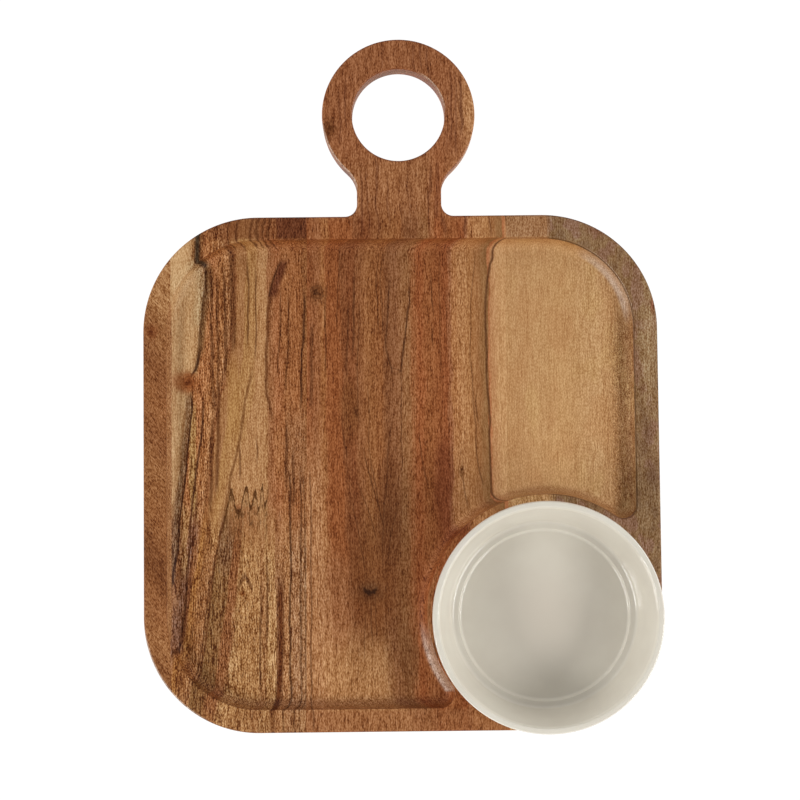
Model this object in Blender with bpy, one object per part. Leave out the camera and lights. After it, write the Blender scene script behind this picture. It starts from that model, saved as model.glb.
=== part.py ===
"""Chip and dip server: a square serving board with a ring handle and a lift-out dip bowl.

The board is four wooden staves glued edge to edge. A chip pocket is routed into its top face and
wraps round a raised disc in one corner. The disc has a round seat sunk in it for a ceramic bowl.

Frame: metres, +Z up, +Y towards the handle. The origin is on the underside, below the middle of
the square body.
"""

import math

import bmesh
import bpy

# Board body
BODY_WIDTH = 0.3048          # across the staves, along X
BODY_LENGTH = 0.3041         # along the staves, without the handle
BODY_CORNER = 0.068          # plan radius of the four corners
THICKNESS = 0.0156
EASE = 0.0010                # rounding of the outer edges

# Ring handle
RING_Y = 0.2130              # ring centre from the body centre
RING_RADIUS = 0.0456
HOLE_RADIUS = 0.0277
NECK_HALF = 0.0251
NECK_FILLET = 0.0182         # where the neck meets the ring
ROOT_FILLET = 0.0073         # where the neck meets the body

# Chip pocket
RIM = 0.0136                 # flat rim between the pocket and the outer edge
POCKET_DEPTH = 0.0080
POCKET_EASE = 0.0004         # broken edge at the top of the cove
DISC_RADIUS = 0.0700         # raised disc that holds the bowl's seat
HORN_RADIUS = 0.0083         # where the pocket ends between the disc and the rim

# Bowl seat and dip bowl
SEAT_RADIUS = 0.0604
SEAT_DEPTH = 0.0080
BOWL_OFFSET = (-0.0014, -0.0008)   # the bowl's place within the play of its seat
BOWL_SEGMENTS = 72

# Glue lines, from left to right: X where each crosses the middle of the body, and its slope
GLUE_LINES = ((-0.1364, 0.003), (-0.0565, 0.0086), (0.0627, 0.006))
STAVE_NAMES = ("left_edge_stave", "left_stave", "handle_stave", "right_stave")
GAP = 0.0003                 # clearance between touching solids

# Linear colour, roughness and metallic value of each piece
FINISHES = {
    "left_edge_stave": ((0.27, 0.115, 0.045), 0.55, 0.0),
    "left_stave": ((0.36, 0.20, 0.095), 0.55, 0.0),
    "handle_stave": ((0.26, 0.115, 0.05), 0.55, 0.0),
    "right_stave": ((0.44, 0.27, 0.13), 0.55, 0.0),
    "dip_bowl": ((0.66, 0.61, 0.52), 0.15, 0.0),
}

HALF_WIDTH = BODY_WIDTH / 2
HALF_LENGTH = BODY_LENGTH / 2
CORNER_X = HALF_WIDTH - BODY_CORNER
CORNER_Y = HALF_LENGTH - BODY_CORNER
COVE = POCKET_DEPTH - POCKET_EASE
SEAT_FLOOR = THICKNESS - SEAT_DEPTH
BOWL_BASE = SEAT_FLOOR + GAP
BOWL_X = CORNER_X + BOWL_OFFSET[0]
BOWL_Y = -CORNER_Y + BOWL_OFFSET[1]

# Half section of the bowl, radius and height above its base: foot, outside, lip, inside, floor
BOWL_PROFILE = (
    (0.0, 0.0010),
    (0.0465, 0.0010),
    (0.0475, 0.0),
    (0.0512, 0.0),
    (0.0532, 0.0011),
    (0.0554, 0.0044),
    (0.0566, 0.0080),
    (0.0602, 0.0205),
    (0.0650, 0.0335),
    (0.0663, 0.0350),
    (0.0666, 0.0361),
    (0.0661, 0.0369),
    (0.0651, 0.0373),
    (0.0640, 0.0371),
    (0.0632, 0.0364),
    (0.0626, 0.0352),
    (0.0598, 0.0240),
    (0.0566, 0.0115),
    (0.0552, 0.0082),
    (0.0545, 0.0071),
    (0.0534, 0.0065),
    (0.0506, 0.0061),
    (0.0499, 0.0056),
    (0.0492, 0.0048),
    (0.0484, 0.0045),
    (0.0, 0.0045),
)


def clear_scene():
    """Remove whatever the open file holds."""
    for item in list(bpy.data.objects):
        bpy.data.objects.remove(item, do_unlink=True)


def arc(centre, radius, start, end, steps):
    """Points on an arc, both ends included, angles in degrees."""
    points = []
    for step in range(steps + 1):
        angle = math.radians(start + (end - start) * step / steps)
        points.append((centre[0] + radius * math.cos(angle), centre[1] + radius * math.sin(angle)))
    return points


def board_outline(inset):
    """Plan outline of body, neck and ring, moved inwards by inset, anticlockwise."""
    fillet_x = NECK_HALF + NECK_FILLET
    fillet_y = RING_Y - math.sqrt((RING_RADIUS + NECK_FILLET) ** 2 - fillet_x ** 2)
    swing = math.degrees(math.atan2(RING_Y - fillet_y, fillet_x))
    root_x = NECK_HALF + ROOT_FILLET
    root_y = HALF_LENGTH + ROOT_FILLET
    corner = BODY_CORNER - inset
    points = arc((0, RING_Y), RING_RADIUS - inset, -swing, 180 + swing, 48)
    points += arc((-fillet_x, fillet_y), NECK_FILLET + inset, swing, 0, 8)[1:]
    points += arc((-root_x, root_y), ROOT_FILLET + inset, 0, -90, 6)
    points += arc((-CORNER_X, CORNER_Y), corner, 90, 180, 18)
    points += arc((-CORNER_X, -CORNER_Y), corner, 180, 270, 18)
    points += arc((CORNER_X, -CORNER_Y), corner, 270, 360, 18)
    points += arc((CORNER_X, CORNER_Y), corner, 0, 90, 18)
    points += arc((root_x, root_y), ROOT_FILLET + inset, 270, 180, 6)
    points += arc((fillet_x, fillet_y), NECK_FILLET + inset, 180, 180 - swing, 8)[:-1]
    return points


def pocket_outline(inset):
    """Plan outline of the chip pocket, moved inwards by inset, anticlockwise."""
    corner = BODY_CORNER - RIM - inset
    horn = HORN_RADIUS - inset
    reach = DISC_RADIUS + HORN_RADIUS
    side = BODY_CORNER - RIM - HORN_RADIUS
    swing = math.degrees(math.asin(side / reach))
    across = math.sqrt(reach ** 2 - side ** 2)
    points = arc((CORNER_X, CORNER_Y), corner, 0, 90, 16)
    points += arc((-CORNER_X, CORNER_Y), corner, 90, 180, 16)
    points += arc((-CORNER_X, -CORNER_Y), corner, 180, 270, 16)
    points += arc((CORNER_X - across, -CORNER_Y - side), horn, -90, swing, 10)
    points += arc((CORNER_X, -CORNER_Y), DISC_RADIUS + inset, 180 + swing, 90 - swing, 30)[1:-1]
    points += arc((CORNER_X + side, -CORNER_Y + across), horn, 270 - swing, 360, 10)
    return points


def circle(centre, radius, steps):
    """Points round a full circle, anticlockwise."""
    return arc(centre, radius, 0, 360, steps)[:-1]


def loft(name, layers):
    """Closed solid through matching plan outlines, given as (outline, height) from the bottom up."""
    mesh = bpy.data.meshes.new(name)
    bm = bmesh.new()
    rings = []
    for outline, height in layers:
        rings.append([bm.verts.new((x, y, height)) for x, y in outline])
    for lower, upper in zip(rings, rings[1:]):
        count = len(lower)
        for index in range(count):
            after = (index + 1) % count
            bm.faces.new((lower[index], lower[after], upper[after], upper[index]))
    bm.faces.new(list(reversed(rings[0])))
    bm.faces.new(rings[-1])
    bmesh.ops.recalc_face_normals(bm, faces=bm.faces)
    bm.to_mesh(mesh)
    bm.free()
    item = bpy.data.objects.new(name, mesh)
    bpy.context.scene.collection.objects.link(item)
    return item


def as_cutter(item):
    """Keep a cutting solid out of the part."""
    item.hide_render = True
    item.display_type = "WIRE"
    return item


def board_blank(name):
    """The whole board before any cut, with its outer edges eased."""
    lean = EASE * (1 - math.cos(math.radians(45)))
    layers = (
        (board_outline(EASE), 0.0),
        (board_outline(lean), lean),
        (board_outline(0.0), EASE),
        (board_outline(0.0), THICKNESS - EASE),
        (board_outline(lean), THICKNESS - lean),
        (board_outline(EASE), THICKNESS),
    )
    return loft(name, layers)


def pocket_cutter():
    """What the router takes out of the chip pocket: a flat floor with a quarter-round cove."""
    floor = THICKNESS - POCKET_DEPTH
    layers = []
    for step in range(6):
        angle = math.radians(90 * (1 - step / 5))
        height = floor + COVE * (1 - math.sin(angle))
        layers.append((pocket_outline(COVE * (1 - math.cos(angle))), height))
    layers.append((pocket_outline(-POCKET_EASE), THICKNESS))
    layers.append((pocket_outline(-POCKET_EASE), THICKNESS + EASE))
    return as_cutter(loft("cut_pocket", layers))


def seat_cutter():
    """Round seat for the bowl, with a small cove round its floor."""
    centre = (CORNER_X, -CORNER_Y)
    cove = 0.0015
    layers = (
        (circle(centre, SEAT_RADIUS - cove, BOWL_SEGMENTS), SEAT_FLOOR),
        (circle(centre, SEAT_RADIUS - cove * 0.29, BOWL_SEGMENTS), SEAT_FLOOR + cove * 0.29),
        (circle(centre, SEAT_RADIUS, BOWL_SEGMENTS), SEAT_FLOOR + cove),
        (circle(centre, SEAT_RADIUS, BOWL_SEGMENTS), THICKNESS - POCKET_EASE),
        (circle(centre, SEAT_RADIUS + POCKET_EASE, BOWL_SEGMENTS), THICKNESS),
        (circle(centre, SEAT_RADIUS + POCKET_EASE, BOWL_SEGMENTS), THICKNESS + EASE),
    )
    return as_cutter(loft("cut_seat", layers))


def finger_hole_cutter():
    """Round hole through the ring, eased on both faces."""
    centre = (0, RING_Y)
    layers = (
        (circle(centre, HOLE_RADIUS + EASE, 56), -EASE),
        (circle(centre, HOLE_RADIUS + EASE, 56), 0.0),
        (circle(centre, HOLE_RADIUS, 56), EASE),
        (circle(centre, HOLE_RADIUS, 56), THICKNESS - EASE),
        (circle(centre, HOLE_RADIUS + EASE, 56), THICKNESS),
        (circle(centre, HOLE_RADIUS + EASE, 56), THICKNESS + EASE),
    )
    return as_cutter(loft("cut_finger_hole", layers))


def glue_edge(line, side, y):
    """X of one side of a glue joint at a given Y; side is -1 for its left face, +1 for its right."""
    middle, slope = GLUE_LINES[line]
    return middle + slope * y + side * GAP / 2


def stave_slab(index):
    """Slab between two glue lines, which keeps one stave of the blank."""
    near = -HALF_LENGTH - 0.02
    far = RING_Y + RING_RADIUS + 0.02
    left = [(-HALF_WIDTH - 0.02, near), (-HALF_WIDTH - 0.02, far)]
    right = [(HALF_WIDTH + 0.02, near), (HALF_WIDTH + 0.02, far)]
    if index > 0:
        left = [(glue_edge(index - 1, 1, y), y) for y in (near, far)]
    if index < len(GLUE_LINES):
        right = [(glue_edge(index, -1, y), y) for y in (near, far)]
    outline = [left[0], right[0], right[1], left[1]]
    return as_cutter(loft("keep_" + STAVE_NAMES[index], ((outline, -0.02), (outline, THICKNESS + 0.02))))


def add_boolean(item, operation, cutter):
    """Cut with, or keep only what lies inside, another solid."""
    modifier = item.modifiers.new(cutter.name, "BOOLEAN")
    modifier.operation = operation
    modifier.object = cutter
    modifier.solver = "EXACT"


def bowl(name):
    """Turned bowl: the profile swept round the bowl's own axis, which is the object's origin."""
    mesh = bpy.data.meshes.new(name)
    bm = bmesh.new()
    rings = []
    for radius, height in BOWL_PROFILE:
        if radius == 0.0:
            rings.append([bm.verts.new((0, 0, height))])
        else:
            rings.append([bm.verts.new((x, y, height)) for x, y in circle((0, 0), radius, BOWL_SEGMENTS)])
    for inner, outer in zip(rings, rings[1:]):
        for index in range(BOWL_SEGMENTS):
            after = (index + 1) % BOWL_SEGMENTS
            if len(inner) == 1:
                bm.faces.new((inner[0], outer[after], outer[index]))
            elif len(outer) == 1:
                bm.faces.new((inner[index], inner[after], outer[0]))
            else:
                bm.faces.new((inner[index], inner[after], outer[after], outer[index]))
    bmesh.ops.recalc_face_normals(bm, faces=bm.faces)
    for face in bm.faces:
        face.smooth = True
    bm.to_mesh(mesh)
    bm.free()
    item = bpy.data.objects.new(name, mesh)
    bpy.context.scene.collection.objects.link(item)
    item.location = (BOWL_X, BOWL_Y, BOWL_BASE)
    return item


def give_material(item):
    """Plain Principled BSDF in the piece's colour."""
    colour, roughness, metallic = FINISHES[item.name]
    material = bpy.data.materials.new(item.name)
    material.use_nodes = True
    shader = material.node_tree.nodes["Principled BSDF"]
    shader.inputs["Base Color"].default_value = (*colour, 1.0)
    shader.inputs["Roughness"].default_value = roughness
    shader.inputs["Metallic"].default_value = metallic
    item.data.materials.append(material)


def build():
    """Make every piece of the server."""
    clear_scene()
    cutters = (pocket_cutter(), seat_cutter(), finger_hole_cutter())
    for index, name in enumerate(STAVE_NAMES):
        stave = board_blank(name)
        add_boolean(stave, "INTERSECT", stave_slab(index))
        for cutter in cutters:
            add_boolean(stave, "DIFFERENCE", cutter)
        give_material(stave)
    give_material(bowl("dip_bowl"))


build()
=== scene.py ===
"""Looks of the chip and dip server: a glued wooden board with a ring handle and a glazed dip bowl.

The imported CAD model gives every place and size. Each wooden stave and the bowl are rebuilt here as
fine meshes in the same place, with a solid wood figure and a ceramic glaze.
"""

import math

import bmesh
import bpy
from mathutils import Matrix, Vector


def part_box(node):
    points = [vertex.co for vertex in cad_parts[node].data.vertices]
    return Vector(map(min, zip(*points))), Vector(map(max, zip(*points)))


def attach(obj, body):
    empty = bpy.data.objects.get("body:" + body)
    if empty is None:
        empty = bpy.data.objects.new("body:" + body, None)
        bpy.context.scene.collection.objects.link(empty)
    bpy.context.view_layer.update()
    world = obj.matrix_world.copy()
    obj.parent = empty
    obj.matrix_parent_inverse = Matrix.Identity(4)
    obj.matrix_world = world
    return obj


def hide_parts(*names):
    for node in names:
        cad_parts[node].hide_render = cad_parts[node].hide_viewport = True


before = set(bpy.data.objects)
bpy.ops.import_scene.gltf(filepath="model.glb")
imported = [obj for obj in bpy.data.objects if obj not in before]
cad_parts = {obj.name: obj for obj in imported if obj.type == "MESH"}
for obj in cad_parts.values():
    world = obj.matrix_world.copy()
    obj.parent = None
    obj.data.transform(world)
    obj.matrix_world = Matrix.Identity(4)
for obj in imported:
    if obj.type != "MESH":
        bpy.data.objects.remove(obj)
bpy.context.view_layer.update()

MM = 0.001
STAVES = ("left_edge_stave", "left_stave", "handle_stave", "right_stave")

# Sizes and places from the CAD boxes, and the ring's radius as in the CAD
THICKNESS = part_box("handle_stave")[1].z
HALF_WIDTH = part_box("right_stave")[1].x
HALF_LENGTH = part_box("left_stave")[1].y
RING_RADIUS = 45.6 * MM
RING_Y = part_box("handle_stave")[1].y - RING_RADIUS
BOWL_LOW, BOWL_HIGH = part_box("dip_bowl")
BOWL_CENTRE = (BOWL_LOW + BOWL_HIGH) / 2

# Plan of the board, as in the CAD
CORNER = 68.0 * MM
CORNER_X = HALF_WIDTH - CORNER
CORNER_Y = HALF_LENGTH - CORNER
HOLE_RADIUS = 27.7 * MM
NECK_HALF = 25.1 * MM
NECK_FILLET = 18.2 * MM
ROOT_FILLET = 7.3 * MM
RIM = 13.6 * MM
POCKET_DEPTH = 8.0 * MM
DISC_RADIUS = 70.0 * MM
HORN_RADIUS = 8.3 * MM
SEAT_RADIUS = 60.4 * MM
GLUE_LINES = ((-136.4 * MM, 0.003), (-56.5 * MM, 0.0086), (62.7 * MM, 0.006))    # X at Y = 0, slope
GLUE_FILM = 0.02 * MM

EDGE_ROUND = 1.3 * MM        # sanded outer edges
POCKET_ROUND = 0.5 * MM      # broken edge round the pocket and the seat
SEAT_COVE = 1.5 * MM
SUPPORT = 0.6 * MM           # flat ring beside a rounded edge, so that flat faces shade flat
FLOOR_SUPPORT = 0.3 * MM     # the same on the pocket's floor

# How finely curves are cut up
RING_STEPS, NECK_STEPS, ROOT_STEPS, BODY_STEPS = 120, 20, 16, 48
POCKET_STEPS, HORN_STEPS, DISC_STEPS = 44, 24, 80
EDGE_STEPS, LIP_STEPS, COVE_STEPS, SEAT_STEPS = 6, 4, 18, 6
HOLE_SIDES, SEAT_SIDES, BOWL_SIDES = 160, 180, 288


def linear(channel):
    """Linear value of one sRGB channel, by the sRGB standard."""
    if channel <= 0.04045:
        return channel / 12.92
    return ((channel + 0.055) / 1.055) ** 2.4


def srgb(code):
    """Linear RGBA of a colour written as a hex code."""
    return tuple(linear(int(code[i:i + 2], 16) / 255) for i in (0, 2, 4)) + (1.0,)


# ---- board mesh


def arc(centre, radius, start, end, steps):
    """Points on an arc, both ends included, angles in degrees."""
    points = []
    for step in range(steps + 1):
        angle = math.radians(start + (end - start) * step / steps)
        points.append((centre[0] + radius * math.cos(angle), centre[1] + radius * math.sin(angle)))
    return points


def circle(centre, radius, steps):
    """Points round a full circle, anticlockwise."""
    return arc(centre, radius, 0, 360, steps)[:-1]


def board_outline(inset):
    """Plan outline of body, neck and ring, moved inwards by inset, anticlockwise."""
    fillet_x = NECK_HALF + NECK_FILLET
    fillet_y = RING_Y - math.sqrt((RING_RADIUS + NECK_FILLET) ** 2 - fillet_x ** 2)
    swing = math.degrees(math.atan2(RING_Y - fillet_y, fillet_x))
    root_x = NECK_HALF + ROOT_FILLET
    root_y = HALF_LENGTH + ROOT_FILLET
    corner = CORNER - inset
    points = arc((0, RING_Y), RING_RADIUS - inset, -swing, 180 + swing, RING_STEPS)
    points += arc((-fillet_x, fillet_y), NECK_FILLET + inset, swing, 0, NECK_STEPS)[1:]
    points += arc((-root_x, root_y), ROOT_FILLET + inset, 0, -90, ROOT_STEPS)
    points += arc((-CORNER_X, CORNER_Y), corner, 90, 180, BODY_STEPS)
    points += arc((-CORNER_X, -CORNER_Y), corner, 180, 270, BODY_STEPS)
    points += arc((CORNER_X, -CORNER_Y), corner, 270, 360, BODY_STEPS)
    points += arc((CORNER_X, CORNER_Y), corner, 0, 90, BODY_STEPS)
    points += arc((root_x, root_y), ROOT_FILLET + inset, 270, 180, ROOT_STEPS)
    points += arc((fillet_x, fillet_y), NECK_FILLET + inset, 180, 180 - swing, NECK_STEPS)[:-1]
    return points


def pocket_outline(inset):
    """Plan outline of the chip pocket, moved inwards by inset, anticlockwise."""
    corner = CORNER - RIM - inset
    horn = HORN_RADIUS - inset
    reach = DISC_RADIUS + HORN_RADIUS
    side = CORNER - RIM - HORN_RADIUS
    swing = math.degrees(math.asin(side / reach))
    across = math.sqrt(reach ** 2 - side ** 2)
    points = arc((CORNER_X, CORNER_Y), corner, 0, 90, POCKET_STEPS)
    points += arc((-CORNER_X, CORNER_Y), corner, 90, 180, POCKET_STEPS)
    points += arc((-CORNER_X, -CORNER_Y), corner, 180, 270, POCKET_STEPS)
    points += arc((CORNER_X - across, -CORNER_Y - side), horn, -90, swing, HORN_STEPS)
    points += arc((CORNER_X, -CORNER_Y), DISC_RADIUS + inset, 180 + swing, 90 - swing, DISC_STEPS)[1:-1]
    points += arc((CORNER_X + side, -CORNER_Y + across), horn, 270 - swing, 360, HORN_STEPS)
    return points


def hole_outline(inset):
    """Plan outline of the finger hole, widened by inset."""
    return circle((0, RING_Y), HOLE_RADIUS + inset, HOLE_SIDES)


def seat_outline(radius):
    """A circle round the middle of the bowl's seat."""
    return circle((CORNER_X, -CORNER_Y), radius, SEAT_SIDES)


def ring_of_verts(bm, outline, height):
    """New vertices along an outline, all at one height."""
    return [bm.verts.new((x, y, height)) for x, y in outline]


def skin(bm, rings):
    """Quads between matching closed rings."""
    for lower, upper in zip(rings, rings[1:]):
        count = len(lower)
        for index in range(count):
            after = (index + 1) % count
            bm.faces.new((lower[index], lower[after], upper[after], upper[index]))


def fill(bm, *rings):
    """Flat fill between an outer ring and any rings inside it."""
    edges = []
    for ring in rings:
        for index, vert in enumerate(ring):
            pair = (vert, ring[(index + 1) % len(ring)])
            edges.append(bm.edges.get(pair) or bm.edges.new(pair))
    bmesh.ops.triangle_fill(bm, use_beauty=True, use_dissolve=False, edges=edges)


def round_over(steps):
    """Quarter round from flat to upright, as (inset, drop) in units of the radius."""
    angles = [math.radians(90 * step / steps) for step in range(steps + 1)]
    return [(1 - math.sin(a), 1 - math.cos(a)) for a in angles]


def through_wall(outline):
    """Layers of a wall from underside to top, rounded at both, as (points, height)."""
    r = EDGE_ROUND
    layers = [(outline(r + SUPPORT), 0.0)]
    layers += [(outline(i * r), d * r) for i, d in round_over(EDGE_STEPS)]
    layers += [(outline(i * r), THICKNESS - d * r) for i, d in reversed(round_over(EDGE_STEPS))]
    layers.append((outline(r + SUPPORT), THICKNESS))
    return layers


def pocket_wall():
    """Layers of the pocket's coved wall, from the top down to its floor."""
    e = POCKET_ROUND
    cove = POCKET_DEPTH - e
    layers = [(pocket_outline(-e - SUPPORT), THICKNESS)]
    layers += [(pocket_outline(-i * e), THICKNESS - d * e) for i, d in round_over(LIP_STEPS)]
    for step in range(1, COVE_STEPS + 1):
        angle = math.radians(90 * step / COVE_STEPS)
        inset = cove * (1 - math.cos(angle))
        layers.append((pocket_outline(inset), THICKNESS - e - cove * math.sin(angle)))
    layers.append((pocket_outline(cove + FLOOR_SUPPORT), THICKNESS - POCKET_DEPTH))
    return layers


def seat_wall():
    """Layers of the seat's wall, from the top down to its floor, with a small cove at its foot."""
    e = POCKET_ROUND
    layers = [(seat_outline(SEAT_RADIUS + e + SUPPORT), THICKNESS)]
    layers += [(seat_outline(SEAT_RADIUS + i * e), THICKNESS - d * e) for i, d in round_over(LIP_STEPS)]
    for step in range(SEAT_STEPS + 1):
        angle = math.radians(90 * step / SEAT_STEPS)
        radius = SEAT_RADIUS - SEAT_COVE * (1 - math.cos(angle))
        drop = POCKET_DEPTH - SEAT_COVE * (1 - math.sin(angle))
        layers.append((seat_outline(radius), THICKNESS - drop))
    layers.append((seat_outline(SEAT_RADIUS - SEAT_COVE - SUPPORT), THICKNESS - POCKET_DEPTH))
    return layers


def board_mesh():
    """The whole board as one closed bmesh, before it is split along the glue lines."""
    bm = bmesh.new()
    walls = []
    for layers in (through_wall(board_outline), through_wall(hole_outline), pocket_wall(), seat_wall()):
        rings = [ring_of_verts(bm, *layer) for layer in layers]
        skin(bm, rings)
        walls.append(rings)
    outer, hole, pocket, seat = walls
    fill(bm, outer[0], hole[0])
    fill(bm, outer[-1], hole[-1], pocket[0], seat[0])
    fill(bm, pocket[-1])
    fill(bm, seat[-1])
    bmesh.ops.recalc_face_normals(bm, faces=bm.faces)
    for face in bm.faces:
        face.smooth = True
    return bm


def split(bm, line, side):
    """Keep the part of bm on one side of a glue line (-1 left, +1 right), and close the cut."""
    middle, slope = GLUE_LINES[line]
    away = Vector((-side, side * slope, 0)).normalized()
    point = Vector((middle + side * GLUE_FILM / 2, 0, 0))
    geometry = bm.verts[:] + bm.edges[:] + bm.faces[:]
    cut = bmesh.ops.bisect_plane(
        bm, geom=geometry, dist=1e-7, plane_co=point, plane_no=away, clear_outer=True
    )
    edges = [item for item in cut["geom_cut"] if isinstance(item, bmesh.types.BMEdge)]
    caps = bmesh.ops.triangle_fill(bm, use_beauty=True, use_dissolve=False, edges=edges, normal=away)
    for item in caps["geom"]:
        if isinstance(item, bmesh.types.BMFace):
            item.smooth = False
    for edge in edges:
        edge.smooth = False


def placed(name, data):
    """A new object in the scene."""
    item = bpy.data.objects.new(name, data)
    bpy.context.scene.collection.objects.link(item)
    return item


def new_object(name, bm):
    """Turn a bmesh into an object in the scene."""
    bmesh.ops.recalc_face_normals(bm, faces=bm.faces)
    mesh = bpy.data.meshes.new(name)
    bm.to_mesh(mesh)
    bm.free()
    return placed(name, mesh)


def stave_object(index):
    """One stave of the board, with its true outline, pocket and seat."""
    bm = board_mesh()
    if index > 0:
        split(bm, index - 1, 1)
    if index < len(GLUE_LINES):
        split(bm, index, -1)
    return new_object(STAVES[index] + "_wood", bm)


# ---- bowl mesh

# Half section, from the middle of the underside round the lip to the middle of the floor:
# radius and height above the base in mm, and the fillet radius at that corner
BOWL_SECTION = (
    (0.0, 1.0, 0.0), (46.6, 1.0, 0.5), (47.3, 0.0, 0.3), (51.6, 0.0, 1.0), (56.2, 6.0, 7.0),
    (60.2, 20.5, 30.0), (65.6, 33.8, 3.0), (66.75, 35.4, 1.0), (66.0, 37.2, 0.7),
    (63.4, 37.3, 1.2), (62.2, 34.8, 2.4), (57.0, 15.5, 60.0), (54.6, 6.8, 3.0),
    (50.5, 6.3, 0.6), (49.4, 4.6, 2.0), (44.0, 4.5, 0.5), (0.0, 4.5, 0.0),
)
ROUND_LIMIT = 0.7      # the largest share of a side that one rounded corner may take


def rounded(points, steps=9):
    """Round each inner corner of a polyline with a smooth bend of its own radius."""
    path = [Vector(points[0][:2])]
    for before, here, after in zip(points, points[1:], points[2:]):
        corner = Vector(here[:2])
        back = Vector(before[:2]) - corner
        ahead = Vector(after[:2]) - corner
        half = back.angle(ahead) / 2
        room = ROUND_LIMIT * min(back.length, ahead.length)
        reach = min(here[2] / math.tan(half), room)
        start = corner + back.normalized() * reach
        end = corner + ahead.normalized() * reach
        for step in range(steps + 1):
            t = step / steps
            path.append((1 - t) ** 2 * start + 2 * t * (1 - t) * corner + t ** 2 * end)
    path.append(Vector(points[-1][:2]))
    return path


def bowl_object():
    """The bowl as a turned shell, its section swept round a vertical axis."""
    bm = bmesh.new()
    rings = []
    base = (BOWL_CENTRE.x, BOWL_CENTRE.y)
    for radius, height in rounded(BOWL_SECTION):
        z = BOWL_LOW.z + height * MM
        if radius == 0.0:
            rings.append([bm.verts.new((*base, z))])
        else:
            rings.append(ring_of_verts(bm, circle(base, radius * MM, BOWL_SIDES), z))
    skin(bm, rings[1:-1])
    for pole, ring in ((rings[0][0], rings[1]), (rings[-1][0], rings[-2])):
        for index, vert in enumerate(ring):
            bm.faces.new((pole, ring[(index + 1) % BOWL_SIDES], vert))
    for face in bm.faces:
        face.smooth = True
    return new_object("dip_bowl_glazed", bm)


# ---- shader nodes

PER_METRE = (1000, 1000, 1000)      # turns object coordinates into millimetres
SEED_SHIFT = (1.0, 1.7, 2.3)        # how a seed moves a noise along each axis
MIX_FIRST, MIX_SECOND, MIX_RESULT = 6, 7, 2      # colour sockets of a Mix node


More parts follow.
